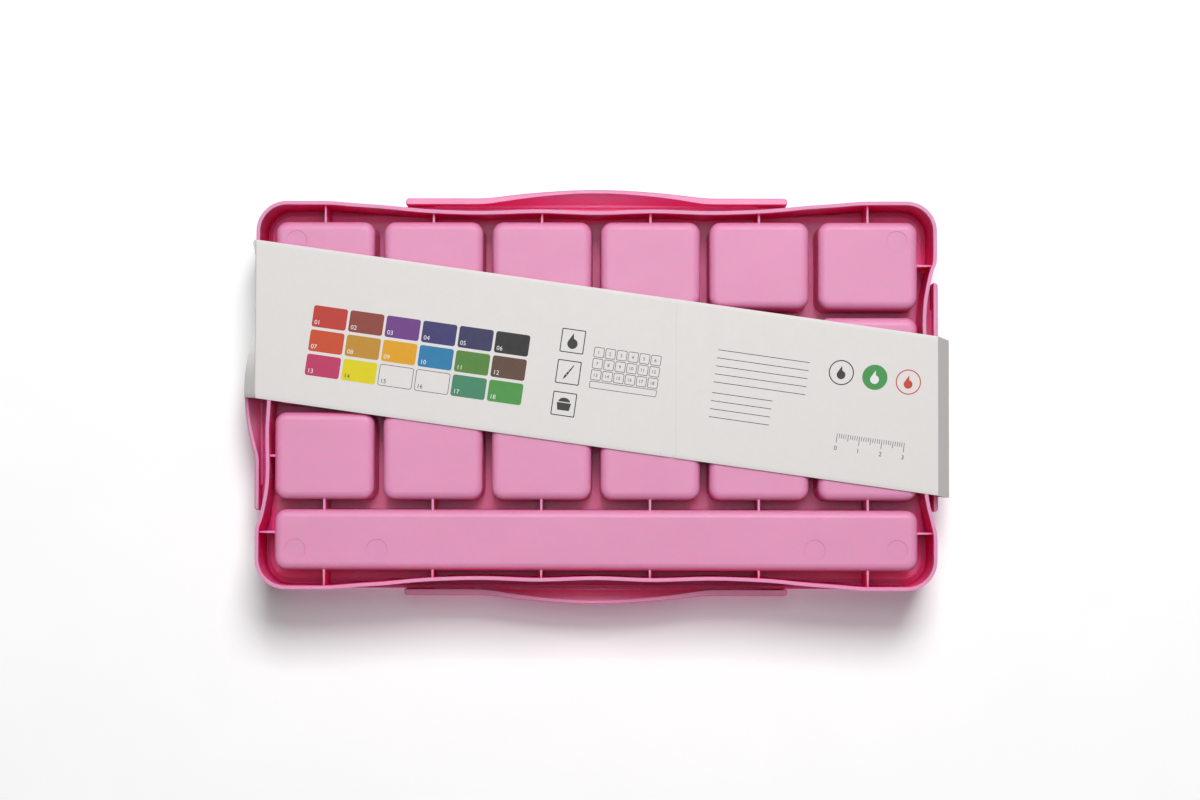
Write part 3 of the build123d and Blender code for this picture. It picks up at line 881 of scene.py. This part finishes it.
    def print_signs(self, face: PrintSheet) -> None:
        """Print three framed signs: a drop, a brush and a pan.

        Args:
            face: The sheet to print on.
        """
        side, left = 10.7, -14
        border = rounded_box_outline(side, side, 0.5, 2)
        border_hole = rounded_box_outline(side - 0.9, side - 0.9, 0.3, 2)
        ink = self.finishes.black_ink
        motifs: tuple[tuple[str, float, Callable[[], list[list[Point]]]], ...] = (
            ("drop", 10.0, self.drop_motif), ("brush", -4.0, self.brush_motif), ("pan", -18.3, self.pan_motif)
        )
        for name, up, motif in motifs:
            face.area(f"sign_border_{name}", moved(border, left, up), ink, hole=moved(border_hole, left, up))
            for part, outline in enumerate(motif()):
                face.area(f"sign_{name}_{part}", moved(outline, left, up), ink)

    @staticmethod
    def drop_motif() -> list[list[Point]]:
        """Draw a drop.

        Returns:
            Its one outline.
        """
        turns = [math.radians(200 + 280 * i / 16 - 40) for i in range(17)]
        belly = [(2.3 * math.cos(a), -1.2 + 2.3 * math.sin(a)) for a in turns]
        return [[*belly, (0.0, 3.6)]]

    @staticmethod
    def brush_motif() -> list[list[Point]]:
        """Draw a slanted brush.

        Returns:
            The outlines of its handle, its ferrule and its tip.
        """
        parts = [
            [(-0.35, 0.4), (0.35, 0.4), (0.18, 4.0), (-0.18, 4.0)],
            [(-0.5, -1.2), (0.5, -1.2), (0.4, 0.2), (-0.4, 0.2)],
            [(0.0, -4.0), (0.45, -2.4), (0.5, -1.4), (-0.5, -1.4), (-0.45, -2.4)],
        ]
        turn = math.radians(-32)
        cos, sin = math.cos(turn), math.sin(turn)
        return [[(x * cos - y * sin, x * sin + y * cos) for x, y in part] for part in parts]

    @staticmethod
    def pan_motif() -> list[list[Point]]:
        """Draw a cup from the side, with a mound of paint.

        Returns:
            The outlines of the cup and of the mound.
        """
        cup = [(-3.2, 0.6), (-2.6, -2.8), (2.6, -2.8), (3.2, 0.6)]
        turns = [math.radians(a) for a in range(0, 181, 15)]
        mound = [(2.6 * math.cos(a), 1.0 + 1.9 * math.sin(a)) for a in turns]
        return [cup, mound]

    def print_plan(self, face: PrintSheet) -> None:
        """Print a small plan of the box with the number of each cup.

        Args:
            face: The sheet to print on.
        """
        ink = self.finishes.black_ink
        columns, cell, gap, line = 6, 4.6, 0.5, 0.5
        left, top = -4.0, 9.0
        one_figure, two_figures, figure_height = 0.7, 1.3, 1.5  # the first two are half lengths
        cell_out = rounded_box_outline(cell, cell, 0.6, 3)
        cell_in = rounded_box_outline(cell - line, cell - line, 0.4, 3)
        for index in range(len(GOUACHES)):
            x = left + (index % columns) * (cell + gap) + cell / 2
            y = top - (index // columns) * (cell + gap) - cell / 2
            number = f"{index + 1:02d}"
            face.area(f"plan_cell_{number}", moved(cell_out, x, y), ink, hole=moved(cell_in, x, y))
            half = one_figure if index < 9 else two_figures
            face.figures(
                f"plan_number_{number}", f"{index + 1}", x - half, y - figure_height / 2, figure_height, ink
            )
        length, depth = columns * cell + (columns - 1) * gap, 3.2
        x, y = left + length / 2, top - len(GOUACHES) // columns * (cell + gap) - depth / 2
        trough = rounded_box_outline(length, depth, 0.6, 3)
        trough_in = rounded_box_outline(length - line, depth - line, 0.4, 3)
        face.area("plan_trough", moved(trough, x, y), ink, hole=moved(trough_in, x, y))

    def print_rings(self, face: PrintSheet) -> None:
        """Print three round marks and a short measuring scale on the outer flap.

        Args:
            face: The sheet to print on.
        """
        inks = self.finishes
        up, outer, inner, points = 13.0, 5.6, 5.1, 40
        for name, x, ink, filled in (
            ("ring_dark", 106, inks.black_ink, False), ("disc_green", 121, inks.green_ink, True),
            ("ring_red", 136, inks.red_ink, False),
        ):
            hole = None if filled else round_outline(inner, x, up, points)
            face.area(name, round_outline(outer, x, up, points), ink, hole=hole)
        share = 0.85
        drop = [(px * share, py * share) for px, py in self.drop_motif()[0]]
        for name, x, ink in (
            ("dark", 106, inks.black_ink), ("green", 121, inks.white_ink), ("red", 136, inks.red_ink)
        ):
            face.area(f"ring_drop_{name}", moved(drop, x, up), ink, layer=2)
        start, foot, half = 108, -14, 0.12
        for tick in range(31):
            height = 4.2 if tick % 10 == 0 else 3.0 if tick % 5 == 0 else 2.0
            x = start + tick
            bar = [(x - half, foot - height), (x + half, foot - height), (x + half, foot), (x - half, foot)]
            face.area(f"scale_tick_{tick:02d}", bar, inks.black_ink)
        for centimetre in range(4):
            face.figures(
                f"scale_number_{centimetre}", str(centimetre), start - 0.7 + 10 * centimetre, -21.4, 2.0,
                inks.black_ink,
            )

    def print_lines(self, face: PrintSheet) -> None:
        """Print two groups of plain writing lines for the owner's notes on the outer flap.

        Args:
            face: The sheet to print on.
        """
        left, pitch, line_width = 50.5, 3.6, 0.3
        groups = ((15.2, 5, 41.0), (-4.0, 4, 27.0))  # height of the first line, number of lines, length
        for group, (top, count, length) in enumerate(groups):
            for line in range(count):
                up = top - pitch * line
                right = left + length
                bar = [(left, up), (right, up), (right, up + line_width), (left, up + line_width)]
                face.area(f"note_line_{group}_{line}", bar, self.finishes.black_ink)

    def print_top(self) -> None:
        """Print two rows of round colour samples on the top."""
        angle = math.radians(self.skew)
        along = Vector((math.cos(angle), math.sin(angle), 0))
        across = Vector((-math.sin(angle), math.cos(angle), 0))
        middle = Vector((0, self.middle_y, self.top_z + self.sheet_gap))
        face = PrintSheet("top", middle * MM, along, across, "band", "card")
        columns, pitch, radius, inner, points = 9, 14.0, 5.0, 4.7, 32
        for index in range(len(GOUACHES)):
            x, y = pitch * (index % columns - columns // 2), pitch * (0.5 - index // columns)
            disc, hole = round_outline(radius, x, y, points), round_outline(inner, x, y, points)
            self.print_colour(face, f"sample_{index + 1:02d}", index, disc, hole)
        LOG.info("printed the top of the band")

    def build(self) -> None:
        """Build the card and its printing."""
        self.build_card()
        self.print_below()
        self.print_top()


# --- Moulded pieces -------------------------------------------------------------------------------
@dataclass
class MouldedParts:
    """The tray, the lid, the latches, the palette and the seal, which keep their CAD shapes."""

    finishes: Finishes

    def build(self) -> None:
        """Dress each piece."""
        dress("base_tray", self.finishes.tray)
        dress("lid", self.finishes.lid)
        for side in ("front", "back", "left", "right"):
            dress(f"latch_{side}", self.finishes.latch)
        dress("mixing_palette", self.finishes.palette)
        dress("rim_seal", self.finishes.seal)


@dataclass
class RefillCups:
    """The eighteen sealed cups and the paint in them."""

    finishes: Finishes

    def build(self) -> None:
        """Dress each cup and its paint."""
        for number, paint in enumerate(self.finishes.paints, start=1):
            dress(f"cup_{number:02d}", self.finishes.cup)
            dress(f"paint_{number:02d}", paint)


# --- Stage ----------------------------------------------------------------------------------------
class Side(Enum):
    """The side of the box from which a sheet of the stage is seen."""

    ABOVE = 1
    BELOW = -1


@dataclass(frozen=True)
class Lamp:
    """One soft square lamp that faces the box: its place and side in metres, and its power in watts."""

    name: str
    place: tuple[float, float, float]
    side: float
    power: float


LAMPS = (
    Lamp("key_below", (-0.25, 1.25, -2.30), 1.0, 56),
    Lamp("fill_below", (0.0, 0.16, -1.6), 0.5, 5.5),
    Lamp("key_above", (-1.0, -1.2, 2.4), 1.6, 80),
    Lamp("fill_above", (1.6, 1.0, 2.4), 1.6, 30),
)


@dataclass
class Studio:
    """The white table under the box, the white sheet behind it, the lamps and the camera."""

    low_z: float = 0.0  # height of the table sheet, in millimetres, as are the next and the camera's place
    high_z: float = 46.9
    world_light: float = 0.12  # strength of the white room as light
    reach: float = 1.3  # metres from the middle to the edge of each sheet
    fade: tuple[float, float] = (0.42, 1.2)  # metres over which each sheet turns into the white room
    camera_place: tuple[float, float, float] = (-4.0, -46.1, -1300.0)
    tilt_up: float = 1.868  # degrees, as are the next two
    turn_side: float = 0.769
    roll: float = -0.147
    lens: float = 87.83
    shift: tuple[float, float] = (0.0289, 0.003)

    def sheet_finish(self, name: str, side: Side) -> bpy.types.Material:
        """Make white paper that the camera sees from one side alone.

        Args:
            name: Name of the material.
            side: The side it is seen from.

        Returns:
            The material.
        """
        tree = ShaderTree(name)
        grain = tree.noise(30, 2)
        white = tree.ramp(grain, 0.2, 0.8, (1.04, 1.04, 1.04), (1.06, 1.06, 1.06))
        paper = tree.add("ShaderNodeBsdfDiffuse")
        tree.join(white, paper.inputs["Color"])
        clear = tree.add("ShaderNodeBsdfTransparent")
        away = tree.add("ShaderNodeNewGeometry").outputs["Backfacing"]
        span = tree.add("ShaderNodeVectorMath", operation="LENGTH")
        tree.join(tree.place, span.inputs[0])
        gone = tree.add("ShaderNodeMath", operation="MAXIMUM")
        tree.join(away, gone.inputs[0])
        tree.join(tree.spread(span.outputs["Value"], 0.0, 1.0, *self.fade), gone.inputs[1])
        choice = tree.add("ShaderNodeMixShader")
        tree.join(gone.outputs[0], choice.inputs["Fac"])
        tree.join(paper.outputs[0], choice.inputs[1])
        tree.join(clear.outputs[0], choice.inputs[2])
        output = tree.tree.nodes["Material Output"]
        tree.join(choice.outputs[0], output.inputs["Surface"])
        tree.tree.nodes.remove(tree.surface)
        LOG.info("made %s, seen from %s", name, side.name.lower())
        return tree.material

    def build_sheet(self, name: str, z: float, side: Side) -> bpy.types.Object:
        """Lay one sheet of the stage.

        Args:
            name: Name of the sheet.
            z: Its height in millimetres.
            side: The side it is seen from.

        Returns:
            The sheet.
        """
        corners = [(-1, -1), (1, -1), (1, 1), (-1, 1)]
        points = [Vector((x * self.reach, y * self.reach, z * MM)) for x, y in corners]
        face = [0, 1, 2, 3] if side is Side.ABOVE else [3, 2, 1, 0]
        sheet = make_piece(name, points, [face], self.sheet_finish(f"{name}_paper", side))
        sheet.visible_diffuse = False
        sheet.visible_glossy = False
        sheet.visible_transmission = False
        sheet.visible_shadow = False
        return sheet

    @staticmethod
    def build_lamp(lamp: Lamp) -> None:
        """Hang one lamp.

        Args:
            lamp: Its name, place, size and power.
        """
        data = bpy.data.lights.new(lamp.name, "AREA")
        data.shape = "SQUARE"
        data.size = lamp.side
        data.energy = lamp.power
        hung = bpy.data.objects.new(lamp.name, data)
        hung.location = lamp.place
        aim = Vector((0, 0, 0.02)) - hung.location
        hung.rotation_mode = "QUATERNION"
        hung.rotation_quaternion = aim.to_track_quat("-Z", "Y")
        hung.visible_camera = False
        bpy.context.scene.collection.objects.link(hung)
        LOG.info("hung %s", lamp.name)

    def build_world(self) -> None:
        """Make the world white to look at and of an even soft strength as light."""
        world = bpy.data.worlds.new("white_room")
        world.use_nodes = True
        nodes, links = world.node_tree.nodes, world.node_tree.links
        background = nodes["Background"]
        background.inputs["Color"].default_value = (1, 1, 1, 1)
        path = nodes.new("ShaderNodeLightPath")
        strength = nodes.new("ShaderNodeMapRange")
        strength.inputs["To Min"].default_value = self.world_light
        strength.inputs["To Max"].default_value = 1.0
        seen = nodes.new("ShaderNodeMath")
        seen.operation = "MAXIMUM"
        links.new(path.outputs["Is Camera Ray"], seen.inputs[0])
        links.new(path.outputs["Is Glossy Ray"], seen.inputs[1])
        links.new(seen.outputs[0], strength.inputs["Value"])
        links.new(strength.outputs["Result"], background.inputs["Strength"])
        bpy.context.scene.world = world

    def build_camera(self) -> None:
        """Set the camera under the box, looking up at the wells."""
        def turn(axis: Vector, degrees: float) -> Matrix:
            """Return a turn about an axis."""
            return Matrix.Rotation(math.radians(degrees), 3, axis)

        right, up, ahead = Vector((-1, 0, 0)), Vector((0, 1, 0)), Vector((0, 0, 1))
        aim = turn(ahead, self.roll) @ turn(up, self.turn_side) @ turn(right, self.tilt_up)
        axes = [aim @ v for v in (right, up, -ahead)]
        data = bpy.data.cameras.new("camera")
        data.lens = self.lens
        data.shift_x, data.shift_y = self.shift
        data.clip_start, data.clip_end = 0.05, 20
        camera = bpy.data.objects.new("camera", data)
        rotation = Matrix([[axis[row] for axis in axes] for row in range(3)])
        camera.matrix_world = Matrix.Translation(Vector(self.camera_place) * MM) @ rotation.to_4x4()
        bpy.context.scene.collection.objects.link(camera)
        bpy.context.scene.camera = camera
        LOG.info("set the camera")

    def build(self) -> None:
        """Build the whole stage."""
        bpy.context.scene.view_settings.view_transform = "Standard"
        self.build_camera()
        self.build_world()
        self.build_sheet("table_sheet", self.low_z, Side.ABOVE)
        back_sheet = self.build_sheet("back_sheet", self.high_z, Side.BELOW)
        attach(back_sheet, "lid")
        for lamp in LAMPS:
            self.build_lamp(lamp)


def main() -> None:
    """Build the stage, the finishes and every piece, in order."""
    logging.basicConfig(level=logging.INFO, format="%(message)s")
    Studio().build()
    finishes = Finishes()
    MouldedParts(finishes).build()
    RefillCups(finishes).build()
    BellyBand(finishes).build()


if __name__ == "__main__":
    main()
